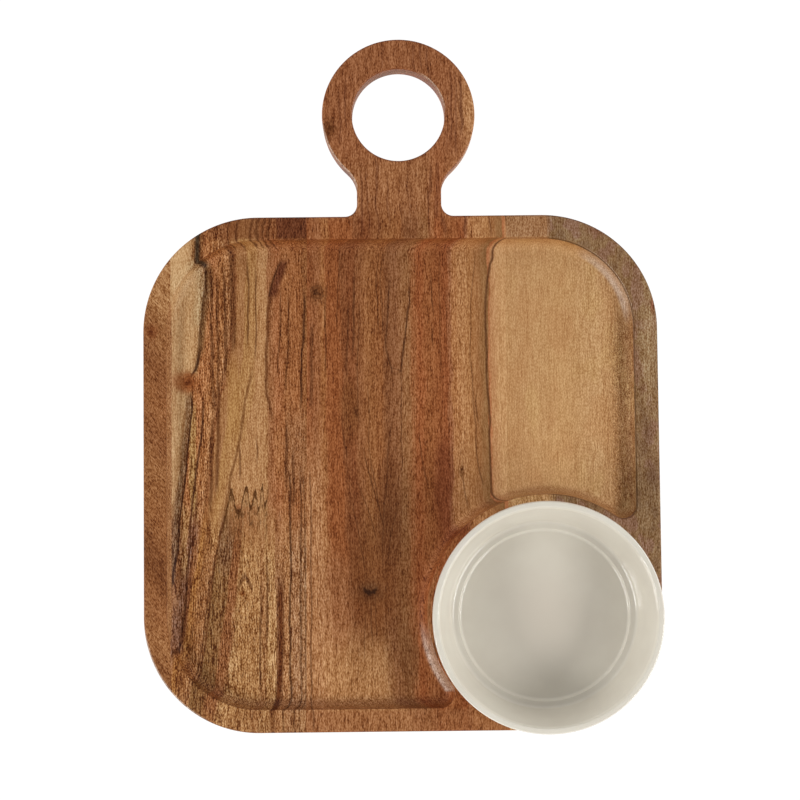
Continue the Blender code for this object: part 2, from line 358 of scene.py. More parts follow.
class Net:
    """Short ways to wire one material's nodes. Lengths in its fields are millimetres."""

    def __init__(self, name):
        self.material = bpy.data.materials.new(name)
        self.material.use_nodes = True
        tree = self.material.node_tree
        self.nodes = tree.nodes
        self.links = tree.links
        self.nodes.clear()
        output = self.nodes.new("ShaderNodeOutputMaterial")
        self.shader = self.nodes.new("ShaderNodeBsdfPrincipled")
        self.links.new(self.shader.outputs["BSDF"], output.inputs["Surface"])
        coordinates = self.nodes.new("ShaderNodeTexCoord").outputs
        self.place = self.vector("MULTIPLY", coordinates["Object"], PER_METRE)
        self.x, self.y, self.z = self.separate(self.place)
        self.normal = coordinates["Normal"]

    def put(self, socket, value):
        """Set a socket from a value, or link another socket into it."""
        if isinstance(value, bpy.types.NodeSocket):
            self.links.new(value, socket)
        else:
            socket.default_value = value

    def set_inputs(self, node, values):
        """Set a node's inputs by name."""
        for name, value in values.items():
            self.put(node.inputs[name], value)

    def separate(self, vector):
        """The three parts of a vector."""
        node = self.nodes.new("ShaderNodeSeparateXYZ")
        self.put(node.inputs[0], vector)
        return node.outputs

    def vector(self, operation, *values):
        """Output of a Vector Math node."""
        node = self.nodes.new("ShaderNodeVectorMath")
        node.operation = operation
        for socket, value in zip(node.inputs, values):
            self.put(socket, value)
        return node.outputs[0]

    def combine(self, x, y, z):
        """A vector from three numbers or sockets."""
        node = self.nodes.new("ShaderNodeCombineXYZ")
        for socket, value in zip(node.inputs, (x, y, z)):
            self.put(socket, value)
        return node.outputs[0]

    def math(self, operation, *values):
        """Output of a Math node."""
        node = self.nodes.new("ShaderNodeMath")
        node.operation = operation
        for socket, value in zip(node.inputs, values):
            self.put(socket, value)
        return node.outputs[0]

    def add(self, a, b):
        return self.math("ADD", a, b)

    def sub(self, a, b):
        return self.math("SUBTRACT", a, b)

    def mul(self, a, b):
        return self.math("MULTIPLY", a, b)

    def span(self, value, low, high, out_low=0.0, out_high=1.0, smooth=True):
        """Map low..high to out_low..out_high, clamped, with soft ends."""
        node = self.nodes.new("ShaderNodeMapRange")
        node.interpolation_type = "SMOOTHSTEP" if smooth else "LINEAR"
        for socket, item in zip(node.inputs, (value, low, high, out_low, out_high)):
            self.put(socket, item)
        return node.outputs[0]

    def noise(self, place, size, detail=2.0, roughness=0.5, distortion=0.0, seed=0.0):
        """Noise with features of the given size in mm along each axis."""
        shift = tuple(seed * step for step in SEED_SHIFT)
        scaled = self.vector("MULTIPLY_ADD", place, tuple(1 / length for length in size), shift)
        node = self.nodes.new("ShaderNodeTexNoise")
        self.set_inputs(node, {
            "Vector": scaled, "Scale": 1.0, "Detail": detail, "Roughness": roughness,
            "Distortion": distortion,
        })
        return node.outputs[0]

    def mix(self, factor, first, second, blend="MIX"):
        """Colour mix of two colours."""
        node = self.nodes.new("ShaderNodeMix")
        node.data_type = "RGBA"
        node.blend_type = blend
        self.put(node.inputs["Factor"], factor)
        self.put(node.inputs[MIX_FIRST], first)
        self.put(node.inputs[MIX_SECOND], second)
        return node.outputs[MIX_RESULT]

    def bands(self, value, stops):
        """Colour across a coordinate in mm: stops are (position, hex colour)."""
        low, high = stops[0][0], stops[-1][0]
        node = self.nodes.new("ShaderNodeValToRGB")
        self.put(node.inputs[0], self.span(value, low, high, smooth=False))
        ramp = node.color_ramp
        ramp.interpolation = "EASE"
        while len(ramp.elements) < len(stops):
            ramp.elements.new(0.5)
        for element, (position, code) in zip(ramp.elements, stops):
            element.position = (position - low) / (high - low)
            element.color = srgb(code)
        return node.outputs[0]

    def curve(self, value, points):
        """A smooth function through (coordinate, value) points, with room for its swings."""
        points = sorted(points)
        start, end = points[0][0], points[-1][0]
        heights = [height for _, height in points]
        low, high = min(heights) - 1, max(heights) + 1
        node = self.nodes.new("ShaderNodeFloatCurve")
        self.put(node.inputs["Value"], self.span(value, start, end, smooth=False))
        curve = node.mapping.curves[0]
        while len(curve.points) < len(points):
            curve.points.new(0.5, 0.5)
        for dot, (place, height) in zip(curve.points, points):
            dot.location = ((place - start) / (end - start), (height - low) / (high - low))
            dot.handle_type = "AUTO_CLAMPED"
        node.mapping.update()
        return self.math("MULTIPLY_ADD", node.outputs[0], high - low, low)

    def bump(self, height, strength, distance):
        """Fine relief on the shader's normal, distance in mm."""
        node = self.nodes.new("ShaderNodeBump")
        self.set_inputs(node, {"Strength": strength, "Distance": distance * MM, "Height": height})
        self.put(self.shader.inputs["Normal"], node.outputs[0])

    def near(self, value, centre, core, edge):
        """1 within core of centre, fading to 0 at edge."""
        distance = self.math("ABSOLUTE", self.sub(value, centre))
        return self.span(distance, core, edge, 1.0, 0.0)

    def oval(self, across, centre, size):
        """Squared distance from a point in (across, Y), in units of the two half sizes."""
        dx = self.math("DIVIDE", self.sub(across, centre[0]), size[0])
        dy = self.math("DIVIDE", self.sub(self.y, centre[1]), size[1])
        return self.add(self.mul(dx, dx), self.mul(dy, dy))

    def spot(self, across, centre, size):
        """Bell-shaped patch over a point in (across, Y), with its half sizes in mm."""
        return self.math("EXPONENT", self.mul(self.oval(across, centre, size), -1.0))


# ---- wood

# Dark brown of pores and knots, and of softer lines
CHAR = "43200b"
UMBER = "582d11"

FLOOR_DEPTH = POCKET_DEPTH / MM    # where the pocket's floor lies under the top, in mm
RIM_INNER = 139                    # along Y, just past the pocket's edge, in mm
OUTSIDE = 160                      # past the body's edge

# Painted highlight on slopes that face the left soft box: its colour, its share, the extra coat gloss there,
# and the way those slopes face in plan
PAINTED_HIGHLIGHT = "b7977a"
PAINTED_HIGHLIGHT_SHARE = 0.55
HIGHLIGHT_SLOPE_COAT = 0.8
LIT_SLOPE_X, LIT_SLOPE_Y = -0.82, -0.57

# Walls cut across the fibres are darker, partly from their end grain and partly as painted shade: turned to
# the handle, away from the soft boxes, and turned away from the handle
END_GRAIN_SHADE_TOWARD = (0.77, 0.67, 0.60)
END_GRAIN_SHADE_AWAY = (0.80, 0.71, 0.60)

# Fibre brightness: its middle, its floor, and the powers that make dark fibres redder
TONE = 1.12
TONE_FLOOR = 0.3
GREEN_POWER, BLUE_POWER = 1.45, 2.0


class Wood(Net):
    """Solid wood. u crosses the growth rings and is X on the pocket's floor, v runs along the grain.

    tilt is how far the rings lean for each mm of depth, as one number or as (x, lean) points.
    """

    def __init__(self, name, tilt, seed):
        super().__init__(name)
        self.seed = seed
        self.depth = self.sub(THICKNESS / MM, self.z)
        lean = self.curve(self.x, tilt) if isinstance(tilt, tuple) else tilt
        self.u = self.add(self.x, self.mul(self.sub(self.depth, FLOOR_DEPTH), lean))
        self.v = self.y
        self.normal_x, self.normal_y, self.normal_z = self.separate(self.normal)

    def tint(self, mask, code, amount=1.0):
        """Colour over a mask."""
        factor = self.mul(mask, amount) if amount != 1.0 else mask
        self.colour = self.mix(factor, self.colour, srgb(code))

    def window(self, low, high, fade):
        """1 between two places along Y, with soft ends."""
        start = self.span(self.y, low - fade, low + fade)
        return self.mul(start, self.span(self.y, high - fade, high + fade, 1.0, 0.0))

    def strip(self, low, high, fade=1.0):
        """1 between two places across the grain, with soft, torn edges."""
        start = self.span(self.ragged, low - fade, low + fade)
        return self.mul(start, self.span(self.ragged, high - fade, high + fade, 1.0, 0.0))

    def line(self, points, half_width, code, amount=1.0, fade=6.0, soft=1.0, kink=0.0):
        """A line along the grain through (y, u) points, with rough edges and, if asked, kinks."""
        where = self.add(self.curve(self.y, points), self.wander)
        if kink:
            bend = self.noise(self.place, (3.5, 4.5, 3.5), detail=1.0, seed=self.seed + 13)
            where = self.add(where, self.span(bend, 0.25, 0.75, -kink, kink, smooth=False))
        mask = self.near(self.u, where, half_width * 0.3, half_width * (1 + soft))
        window = self.window(min(points)[0], max(points)[0], fade)
        self.tint(self.mul(mask, window), code, amount)

    def patch(self, centre, size, code, amount):
        """A soft patch with ragged edges along the grain."""
        mask = self.spot(self.ragged, centre, size)
        self.tint(self.span(mask, 0.15, 0.75), code, amount)

    def knot(self, centre, size, core, halo, reach=2.6):
        """A knot: a dark core in a halo of darker wood, with faint rings round it."""
        distance = self.math("SQRT", self.oval(self.u, centre, size))
        rough = self.noise(self.place, (2.2, 2.2, 2.2), detail=1.0, seed=self.seed + 9)
        distance = self.add(distance, self.span(rough, 0.3, 0.7, -0.3, 0.3))
        self.tint(self.span(distance, 0.6, reach, 1.0, 0.0), halo, 0.85)
        rings = self.math("SINE", self.mul(distance, 7.0))
        faint = self.mul(self.span(rings, -0.2, 1.0), self.span(distance, 0.7, reach, 0.9, 0.0))
        self.tint(faint, core, 0.6)
        self.tint(self.span(distance, 0.2, 0.95, 1.0, 0.0), core, 0.9)

    def begin(self, stops, waver=1.5, reach=2.6):
        """Base bands, and the slow wander that every line shares."""
        s = self.seed
        slow = self.noise(self.place, (40, 70, 40), detail=2.0, seed=s)
        quick = self.noise(self.place, (11, 18, 11), detail=1.0, seed=s + 6)
        slow = self.span(slow, 0.2, 0.8, -waver / 2, waver / 2, smooth=False)
        quick = self.span(quick, 0.2, 0.8, -0.8, 0.8, smooth=False)
        self.wander = self.add(slow, quick)
        self.grain = self.add(self.u, self.wander)
        place = self.combine(self.grain, self.v, self.depth)
        torn = self.noise(place, (1.6, 22, 1.6), detail=3.0, seed=s + 1)
        self.torn = self.span(torn, 0.25, 0.75, -reach / 2, reach / 2, smooth=False)
        self.ragged = self.add(self.grain, self.torn)
        self.colour = self.bands(self.ragged, stops)

    def streaks(self, dashes):
        """Brightness change from long fibres, hair lines, grit and short dark dashes."""
        s = self.seed
        across = self.combine(self.grain, self.v, self.mul(self.depth, 0.7))
        wide = self.noise(across, (4.5, 150, 6), detail=3.0, roughness=0.6, seed=s + 2)
        self.fine = self.noise(across, (0.65, 40, 0.9), detail=2.0, roughness=0.6, seed=s + 3)
        hair = self.noise(across, (0.46, 9, 0.55), detail=1.0, seed=s + 4)
        self.dash = self.noise(across, (0.50, 4.6, 0.55), detail=1.0, distortion=0.2, seed=s + 5)
        grit = self.noise(self.place, (0.50, 1.3, 0.50), detail=0.0, seed=s + 7)
        value = self.span(wide, 0.3, 0.7, -0.09, 0.09)
        value = self.add(value, self.span(self.fine, 0.3, 0.7, -0.16, 0.13))
        value = self.add(value, self.span(hair, 0.3, 0.7, -0.26, 0.24))
        value = self.add(value, self.span(grit, 0.25, 0.75, -0.40, 0.36))
        dark = self.span(self.dash, 0.47, 0.66, 0.18, -0.66)
        return self.add(value, self.mul(dark, dashes))

    def paint_highlight(self):
        """Painted highlight: paler wood where a slope faces the lower left, towards the left soft box.
        Returns its mask.
        """
        slope = self.mul(self.span(self.normal_z, 0.99, 0.90), self.span(self.normal_z, 0.1, 0.4))
        level = self.math("SQRT", self.sub(1.001, self.mul(self.normal_z, self.normal_z)))
        facing = self.add(self.mul(self.normal_x, LIT_SLOPE_X), self.mul(self.normal_y, LIT_SLOPE_Y))
        lit_slopes = self.mul(self.span(self.math("DIVIDE", facing, level), 0.84, 0.97), slope)
        # Painted highlight: paler wood on the slopes that face the left soft box
        self.tint(lit_slopes, PAINTED_HIGHLIGHT, PAINTED_HIGHLIGHT_SHARE)
        return lit_slopes

    def shade_fibres(self, dashes, contrast):
        """Multiply the colour by the streaks, and darken the walls across the grain: end grain, with painted
        shade on top.
        """
        tone = self.add(self.mul(self.streaks(dashes), contrast), TONE)
        tone = self.math("MAXIMUM", tone, TONE_FLOOR)
        green = self.math("POWER", tone, GREEN_POWER)
        blue = self.math("POWER", tone, BLUE_POWER)
        self.colour = self.mix(1.0, self.colour, self.combine(tone, green, blue), "MULTIPLY")
        toward = self.span(self.normal_y, 0.12, 0.6)
        away = self.span(self.normal_y, -0.25, -0.85)
        # End grain and painted shade on walls that face along Y
        for mask, factor in ((toward, END_GRAIN_SHADE_TOWARD), (away, END_GRAIN_SHADE_AWAY)):
            self.colour = self.mix(mask, self.colour, self.vector("MULTIPLY", self.colour, factor))

    def finish(self, dashes, contrast):
        """Streaks, relief and a satin oil finish, glossier on the slopes that carry the painted highlight."""
        lit_slopes = self.paint_highlight()
        self.shade_fibres(dashes, contrast)
        pores = self.span(self.dash, 0.55, 0.68)
        self.bump(self.sub(self.mul(self.fine, 0.6), self.mul(pores, 0.7)), 0.4, 0.12)
        self.set_inputs(self.shader, {
            "Base Color": self.colour,
            "Roughness": self.span(self.fine, 0.25, 0.75, 0.50, 0.42),
            "Specular IOR Level": 0.13,
            "Coat Weight": self.mul(lit_slopes, HIGHLIGHT_SLOPE_COAT),
            "Coat Roughness": 0.5,
            "Coat IOR": 1.6,
        })
        return self.material


EDGE_BANDS = (
    (-190, "734322"), (-176, "8e5b33"), (-160, "87532d"), (-146, "734322"), (-128, "8a562f"),
    (-112, "8e5b33"), (-98, "814e2a"), (-84, "8b562f"), (-72, "814e2a"), (-58, "8e5b33"), (-44, "a06e42"),
    (-30, "a06e42"),
)


def left_edge_wood():
    """Narrow strip with steep cross grain and a red knot."""
    wood = Wood("wood_left_edge", 0.3, 11.0)
    run, rise = 0.77, 0.64      # the way across this strip's grain, in plan
    stretch = 2.2
    across = wood.add(wood.mul(wood.x, run), wood.mul(wood.y, rise))
    wood.v = wood.mul(wood.sub(wood.mul(wood.y, run), wood.mul(wood.x, rise)), stretch)
    flat = wood.u
    wood.u = across
    wood.begin(EDGE_BANDS, 5.0)
    wood.u = flat
    wall = wood.mul(wood.span(wood.depth, 0.3, 1.5), wood.span(wood.x, -140, -138.7))
    wood.tint(wall, "a06e44", 0.85)
    wood.patch((-139, 47), (2.5, 14), "6c3318", 0.9)
    wood.knot((-150, 84), (2.3, 2.6), "552408", "7c431f")
    return wood.finish(0.5, 0.9)


LEFT_UPPER_BANDS = (
    (-140, "bb8f60"), (-122, "bb8f60"), (-118.5, "98693e"), (-116, "a06438"), (-111, "9d6237"),
    (-106, "945c31"), (-103, "a26b3f"), (-101, "82502b"), (-99, "8c5630"), (-97, "98653a"), (-93, "9c6a40"),
    (-91, "a47443"), (-86, "a77747"), (-84, "ab7a4d"), (-80.5, "ab7a4d"), (-78.5, "97613a"),
    (-73, "965b34"), (-69, "955c33"), (-62, "90562e"), (-56, "8d572f"),
)
LEFT_LOWER_BANDS = (
    (-140, "8f5b34"), (-134, "81553a"), (-131, "8a5630"), (-129, "925c2c"), (-124, "87542c"),
    (-119, "98643a"), (-117, "7c522b"), (-109, "7c502a"), (-107, "844f2a"), (-103, "844f2a"),
    (-100, "9c6d40"), (-98, "a47344"), (-86, "a17042"), (-83, "98663c"), (-79, "a8794a"),
    (-75.5, "a67648"), (-74.5, "8a5a35"), (-71, "a06c42"), (-67, "a26f44"), (-65, "9d6c45"), (-56, "9e6e46"),
)


def left_base(wood):
    """Bands of the left stave above and below its flame.

    Returns the mask of the lower part, and the coordinate that the upper bands follow.
    """
    plain = wood.u
    spread = ((-60, 19), (-43, 18.5), (-20, 15), (0, 12), (20, 9.5), (42, 7), (62, 3), (90, 0))
    weight = ((-140, 1), (-125, 1), (-110, 1.35), (-104, 1.42), (-98, 1.2), (-92, 0.8), (-86, 0.4), (-80, 0),
              (-56, 0))
    wood.u = wood.add(plain, wood.mul(wood.curve(wood.y, spread), wood.curve(wood.x, weight)))
    wood.begin(LEFT_UPPER_BANDS)
    upper = wood.colour
    bent = wood.u
    lean = wood.mul(wood.add(wood.y, 100.0), wood.span(wood.x, -80, -105, 0.0, -0.146))
    wood.u = wood.add(plain, lean)
    wood.begin(LEFT_LOWER_BANDS)
    lower = wood.span(wood.add(wood.y, wood.mul(wood.wander, 8.0)), -12, -48)
    wood.colour = wood.mix(lower, upper, wood.colour)
    wood.u = plain
    wood.grain = wood.add(plain, wood.wander)
    wood.ragged = wood.add(wood.grain, wood.torn)
    return lower, bent


def left_wood():
    """Sapwood at its left, a wandering grey line, brown and tan bands, and a flame figure."""
    wood = Wood("wood_left", -0.45, 23.0)
    lower, bent = left_base(wood)
    left_fields(wood)
    left_lines(wood)
    flame(wood)
    left_rim(wood)
    dashes = wood.curve(bent, ((-140, 0.15), (-123, 0.2), (-115, 0.7), (-103, 0.7), (-96, 0.35),
                               (-82, 0.35), (-76, 0.5), (-56, 0.6)))
    contrast = wood.curve(bent, ((-140, 0.55), (-123, 0.6), (-116, 1.35), (-102, 1.35), (-95, 0.7),
                                 (-82, 0.7), (-76, 0.95), (-56, 1.05)))
    low_contrast = wood.curve(wood.u, ((-138, 1.4), (-104, 1.45), (-96, 1.2), (-56, 1.2)))
    dashes = wood.math("MAXIMUM", dashes, wood.mul(lower, 0.75))
    return wood.finish(dashes, wood.math("MAXIMUM", contrast, wood.mul(lower, low_contrast)))


def left_fields(wood):
    """Soft colour changes of the left stave, and a painted highlight in the pocket's upper left corner."""
    for ends, sides, code, amount in (
        ((-25, 40, 8), (-126, -122), "99723f", 0.7), ((-60, -18, 6), (-131, -127.5), "9c6d3e", 0.7),
        ((-45, -12, 6), (-114, -109), "a0703f", 0.5), ((20, 66, 8), (-103, -96), "a0703c", 0.6),
    ):
        wood.tint(wood.mul(wood.window(*ends), wood.strip(*sides)), code, amount)
    wood.patch((-73, 12), (3.2, 18), "9b6338", 0.7)
    wood.tint(wood.mul(wood.window(-12, 34, 12), wood.strip(-69, -57)), "996a44", 0.5)
    wood.patch((-105, -40), (5, 20), "774e30", 0.7)
    wood.patch((-128, 55), (9, 7), "975a2f", 0.75)
    wood.line(((88, -121), (100, -119.5), (112, -118), (126, -119)), 3.2, "a98b62", 0.5)
    # Painted highlight: a pale patch where the pocket's upper left corner cove faces the right soft box
    wood.tint(wood.spot(wood.x, (-129, 114), (8, 9)), "c29f72", 0.4)


def left_lines(wood):
    """Dark lines and knots of the left stave."""
    wood.line(((-79, -139.5), (-70, -137.6), (-52, -135.6), (-35, -133.8), (-15, -132.5), (0, -130.5),
               (15, -129.3), (30, -127.8), (40, -126.8), (47, -127)), 1.5, "7c5a3c", 0.75, 5)
    wood.line(((-79, -137.5), (-70, -136.2), (-52, -134.2), (-35, -132.2), (-15, -130.4), (0, -128.5),
               (15, -127.5), (30, -126), (40, -124.8), (47, -125.5)), 0.5, "421f0b", 0.95, 4)
    wood.line(((56, -126.5), (60, -123.6), (63, -121.9), (72, -120), (85, -118.7), (100, -117.3),
               (110, -116.4), (121, -115.4), (128, -116.4), (152, -116.6)), 0.8, "3a1b08", 0.95, 2)
    wood.line(((72, -119), (85, -117.6), (100, -116), (110, -115), (121, -114), (128, -115.6),
               (152, -115)), 1.8, "69411f", 0.65, 4)
    wood.line(((124, -116.6), (130, -117), (141, -116.8), (152, -116.4)), 1.4, "3f2c1a", 0.95, 2)
    wood.line(((-125, -120.4), (-105, -117.5), (-85, -115.5), (-70, -113.6), (-55, -112), (-40, -108.2),
               (-25, -104.8)), 0.6, UMBER, 0.9)
    wood.line(((-25, -104.8), (-12, -103.5), (0, -101.5), (8, -99), (17, -97), (27, -95), (40, -93),
               (50, -91), (60, -89)), 0.7, "784b26", 0.9)
    wood.line(((-125, -122.2), (-105, -119.2), (-85, -117.2), (-60, -114.2)), 0.5, UMBER, 0.8)
    wood.line(((-108, -131.5), (-95, -130.6), (-80, -129), (-55, -127), (-38, -125.2), (-10, -123.4),
               (5, -121.6), (15, -120), (30, -119), (42, -118.4)), 0.6, "4f2811", 0.95)
    wood.line(((-100, -130), (-80, -127.6), (-55, -124.8), (-38, -123), (-10, -121)), 0.6, "64351a", 0.8)
    for low, high, start, end, width in (
        (40, 122, -112, -113, 0.8), (30, 118, -108.6, -109.5, 0.7), (74, 134, -100, -100.5, 1.4),
        (60, 120, -104.5, -105, 0.8), (-10, 42, -110, -109, 0.9), (-20, 30, -113.5, -112.5, 0.8),
        (78, 126, -92, -91, 0.5), (70, 120, -87, -86.6, 0.4), (-2, 16, -96, -96.3, 0.5),
        (8, 20, -86, -85.7, 0.4), (-98, -52, -80.4, -81, 0.5), (-128, -70, -84.6, -84, 0.5),
        (60, 110, -73.5, -71.5, 0.4), (50, 105, -68, -67, 0.5), (-5, 30, -69, -68, 0.8),
        (-20, 14, -65, -64, 0.7),
    ):
        middle = ((low + high) / 2, (start + end) / 2 + 0.4)
        wood.line(((low, start), middle, (high, end)), width, UMBER, 0.75)
    wood.line(((34, -77), (42, -78.4), (50, -79.4), (70, -79.7), (90, -79.4), (108, -78)), 0.8, "67391a", 0.9)
    wood.line(((105, -76.6), (112, -75.2), (118, -72.6), (127, -69.6)), 3.3, "61311a", 0.95, 3, 0.4)
    wood.line(((106, -78.4), (112, -77.4), (118, -75.4), (126, -71.8)), 0.5, CHAR, 0.8, 2)
    wood.line(((40, -59.4), (50, -59.2), (70, -58.4), (85, -57.6), (107, -57)), 0.6, CHAR, 0.85)
    wood.line(((-155, -74), (-120, -73.2), (-100, -72.6), (-82, -72.3), (-62, -72.6)), 1.5, "56270b",
              0.95, 10)
    wood.line(((-155, -67), (-20, -66.6), (0, -66.5)), 0.5, CHAR, 0.8)
    wood.line(((-155, -61.6), (-100, -60.8), (-20, -60.4), (0, -60)), 0.5, CHAR, 0.6)
    wood.line(((-155, -58.5), (-60, -58), (0, -58.5)), 0.4, CHAR, 0.5)
    wood.knot((-126.5, 54.5), (3.2, 3.0), "5a280c", "8f4e24", 2.8)
    wood.knot((-95, -71), (1.5, 1.1), "7a3f14", "8f5a2e", 2.2)


def left_rim(wood):
    """Marks that lie only in the top layer: a dark block, and kinked lines beside it."""
    rim = wood.span(wood.depth, 6.5, 3.5)
    wood.tint(wood.mul(rim, wood.window(-OUTSIDE, -RIM_INNER, 2)), "87552c", 0.45)
    top = wood.mul(rim, wood.window(RIM_INNER, OUTSIDE, 1.5))
    wood.tint(wood.mul(top, wood.span(wood.ragged, -112, -106)), "7a4624", 0.8)
    wood.tint(wood.mul(top, wood.span(wood.ragged, -71, -69)), "63331a", 0.95)
    before = wood.colour
    for place, width in ((-84, 0.5), (-80.5, 0.8), (-77, 0.5), (-73.5, 0.7), (-92, 0.5), (-97, 0.4)):
        points = ((122, place - 5), (132, place), (141, place - 1.5), (153, place + 1))
        wood.line(points, width, UMBER, 0.8, 4, kink=0.8)
    wood.colour = wood.mix(wood.span(wood.depth, 7.9, 6.0), before, wood.colour)


# Where the flame's tips end: u across, Y along
FLAME_TIPS = (
    (-108, -40), (-105, -25), (-103, -16), (-101.3, -10), (-100, -13), (-99, -19), (-97, -22), (-95, -17),
    (-93.5, -10), (-92.3, -8), (-91, -14), (-90, -19.5), (-88.5, -15), (-87, -11), (-86, -15), (-85, -20),
    (-84, -13), (-82.8, -7), (-81.5, -18), (-79.5, -9),
)


def flame(wood):
    """Zigzag tips where the saw left the growth rings, and dark dashes below them."""
    inside = wood.mul(wood.span(wood.u, -108, -105), wood.span(wood.u, -78.5, -81))
    tips = wood.curve(wood.u, FLAME_TIPS)
    rough = wood.span(wood.noise(wood.place, (1.5, 3, 1.5), seed=61.0), 0.2, 0.8, -2, 2)
    above = wood.sub(wood.add(wood.y, rough), tips)
    below = wood.mul(wood.span(above, -26, 0), wood.span(above, 0, 1.5, 1.0, 0.0))
    wood.tint(wood.mul(below, inside), "8a6038", 0.5)
    dots = wood.noise(wood.combine(wood.u, wood.y, 0.0), (1.0, 4.5, 1.0), detail=1.0, seed=67.0)
    dotted = wood.mul(wood.span(dots, 0.52, 0.62), wood.span(above, -34, -6))
    dotted = wood.mul(dotted, wood.mul(inside, wood.span(above, 0, 2, 1.0, 0.0)))
    wood.tint(dotted, "5f3a1c", 0.75)
    wood.tint(wood.mul(wood.near(above, -1.0, 1.0, 2.8), inside), "4f2b0e", 0.95)
    vee = wood.add(wood.mul(wood.math("ABSOLUTE", wood.sub(wood.u, -93.5)), 1.8), wood.y)
    wood.tint(wood.mul(wood.near(vee, -60, 1.0, 3.0), wood.near(wood.u, -93.5, 3.0, 5.0)), UMBER, 0.7)


HANDLE_LEAN = ((-60, 0.0), (-45, 0.3), (-20, 1.1), (0, 1.5), (25, 1.35), (64, 1.1))
HANDLE_BANDS = (
    (-76, "845330"), (-57, "8b4f2a"), (-50, "905833"), (-46, "975e33"), (-44, "8b4e28"), (-37, "8b4e28"),
    (-34, "804a28"), (-29, "7c4524"), (-25, "85502c"), (-18, "8e5830"), (-12, "8a532c"), (-8, "7b4a29"),
    (-3, "845230"), (4, "8a5933"), (8, "945a33"), (11, "90502a"), (17, "8e532c"), (21, "8b4f29"),
    (27, "894b27"), (29.5, "955d39"), (31.5, "a36b3f"), (37, "a97447"), (42, "a36e41"), (46, "99663c"),
    (50.5, "8c6038"), (52.0, "845a33"), (52.8, "a9683f"), (54.4, "b07c50"), (60, "bc8c5c"), (66, "bc8c5c"),
)


def handle_wood():
    """Reddish heartwood that carries the handle, with knots and a strip of sapwood at its right."""
    wood = Wood("wood_handle", HANDLE_LEAN, 37.0)
    knot_pull(wood, (-18, -70), (18, 60), 0.5)
    wood.begin(HANDLE_BANDS)
    handle_fields(wood)
    handle_lines(wood)
    handle_marks(wood)
    smile(wood)
    calm = wood.span(wood.u, 30, 55, 0.85, 0.4)
    return wood.finish(wood.mul(calm, 0.6), calm)


def knot_pull(wood, centre, size, strength):
    """Draw the grain in towards a knot."""
    patch = wood.spot(wood.u, centre, size)
    wood.u = wood.add(wood.u, wood.mul(wood.mul(wood.sub(wood.u, centre[0]), patch), strength))


def handle_fields(wood):
    """Soft colour changes of the handle stave."""
    pale = wood.mul(wood.span(wood.y, -76, -118), wood.span(wood.ragged, 2, -12))
    wood.tint(pale, "a97648", 0.85)
    wood.tint(wood.mul(wood.span(wood.y, 40, -20), wood.span(wood.ragged, -42, -50)), "aa754a", 0.85)
    for centre, size, code, amount in (
        ((-16, -66), (20, 34), "804a25", 0.85), ((-6, -22), (9, 40), "734222", 0.75),
        ((-42, -76), (8, 30), "95603a", 0.6), ((25, -10), (6, 34), "73391d", 0.8),
        ((-31, 38), (6, 20), "73421f", 0.7), ((6, -112), (5, 20), "784a28", 0.7),
    ):
        wood.patch(centre, size, code, amount)
    rim = wood.span(wood.depth, 5, 2)
    wood.tint(wood.mul(rim, wood.window(-OUTSIDE, -RIM_INNER, 2)), "8b5530", 0.75)
    neck = wood.mul(rim, wood.span(wood.y, 146, 160))
    wood.tint(neck, "98613a", 0.75)
    wood.tint(wood.mul(neck, wood.span(wood.y, 178, 196)), "8c5330", 0.8)
    wood.tint(wood.mul(neck, wood.spot(wood.x, (43, 216), (6.5, 24))), "af794c", 0.9)
    wood.tint(wood.mul(neck, wood.spot(wood.x, (24, 168), (5, 22))), "84431f", 0.6)


def handle_lines(wood):
    """Dark lines of the handle stave."""
    wood.line(((-20, 57), (-15, 54.4), (-10, 53.4), (28, 52.8), (52, 51.6), (80, 51), (110, 52),
               (123, 53.4), (133, 55.5), (160, 53)), 0.55, "5b351b", 0.9)
    wood.line(((60, 0), (72, 1.6), (84, 3.3), (97, 4.6), (112, 5.4)), 0.45, CHAR, 0.8)
    wood.line(((60, -5), (66, -6.6), (80, -8.5), (95, -8), (112, -6)), 0.45, CHAR, 0.65)
    wood.line(((62, -5), (59, -3), (60, 0)), 0.9, CHAR, 0.6, 2)
    for low, high, start, end, width, amount in (
        (70, 118, -28.6, -27.5, 0.7, 0.8), (60, 100, -32, -31, 0.8, 0.6), (30, 100, -25.5, -25, 0.4, 0.6),
        (80, 128, -11, -10.5, 0.5, 0.6), (84, 126, -13.5, -13, 0.5, 0.6), (95, 118, 19.6, 19, 0.5, 0.7),
        (76, 84, 19.6, 19.6, 0.6, 0.8), (60, 130, 24.4, 24, 0.4, 0.5), (-20, 50, -17, -20, 0.4, 0.5),
        (-50, 30, -10, -6, 0.5, 0.6), (0, 60, 0.5, 0.5, 0.4, 0.5), (-8, 24, 15, 10, 0.5, 0.6),
        (66, 128, 41.4, 44.6, 0.4, 0.5), (24, 66, 44.4, 42, 0.5, 0.5), (-8, 22, 48, 44, 0.5, 0.6),
        (30, 46, 45.4, 44.6, 0.6, 0.6), (-22, 4, 39, 36, 0.5, 0.5), (60, 110, -44.5, -44, 0.6, 0.6),
        (40, 88, -53.6, -52.6, 1.2, 0.6), (-150, 0, -54.5, -54.5, 0.6, 0.6), (-24, 12, -12, -23, 0.5, 0.7),
        (-34, 4, -9, -18, 0.5, 0.7), (-40, -6, -14, -27, 0.5, 0.6), (-60, -20, -24, -31, 0.5, 0.5),
        (-50, -22, -5, -1, 0.5, 0.6), (-100, -76, -19, -19.5, 0.6, 0.7), (-96, -74, -15, -15.5, 0.5, 0.6),
        (-110, -84, -25, -24, 0.4, 0.5), (10, 34, -33, -35, 0.6, 0.6), (86, 134, -38, -36.5, 0.5, 0.5),
    ):
        middle = ((low + high) / 2, (start + end) / 2 - 0.5)
        wood.line(((low, start), middle, (high, end)), width * 0.7, "4f270f", amount)


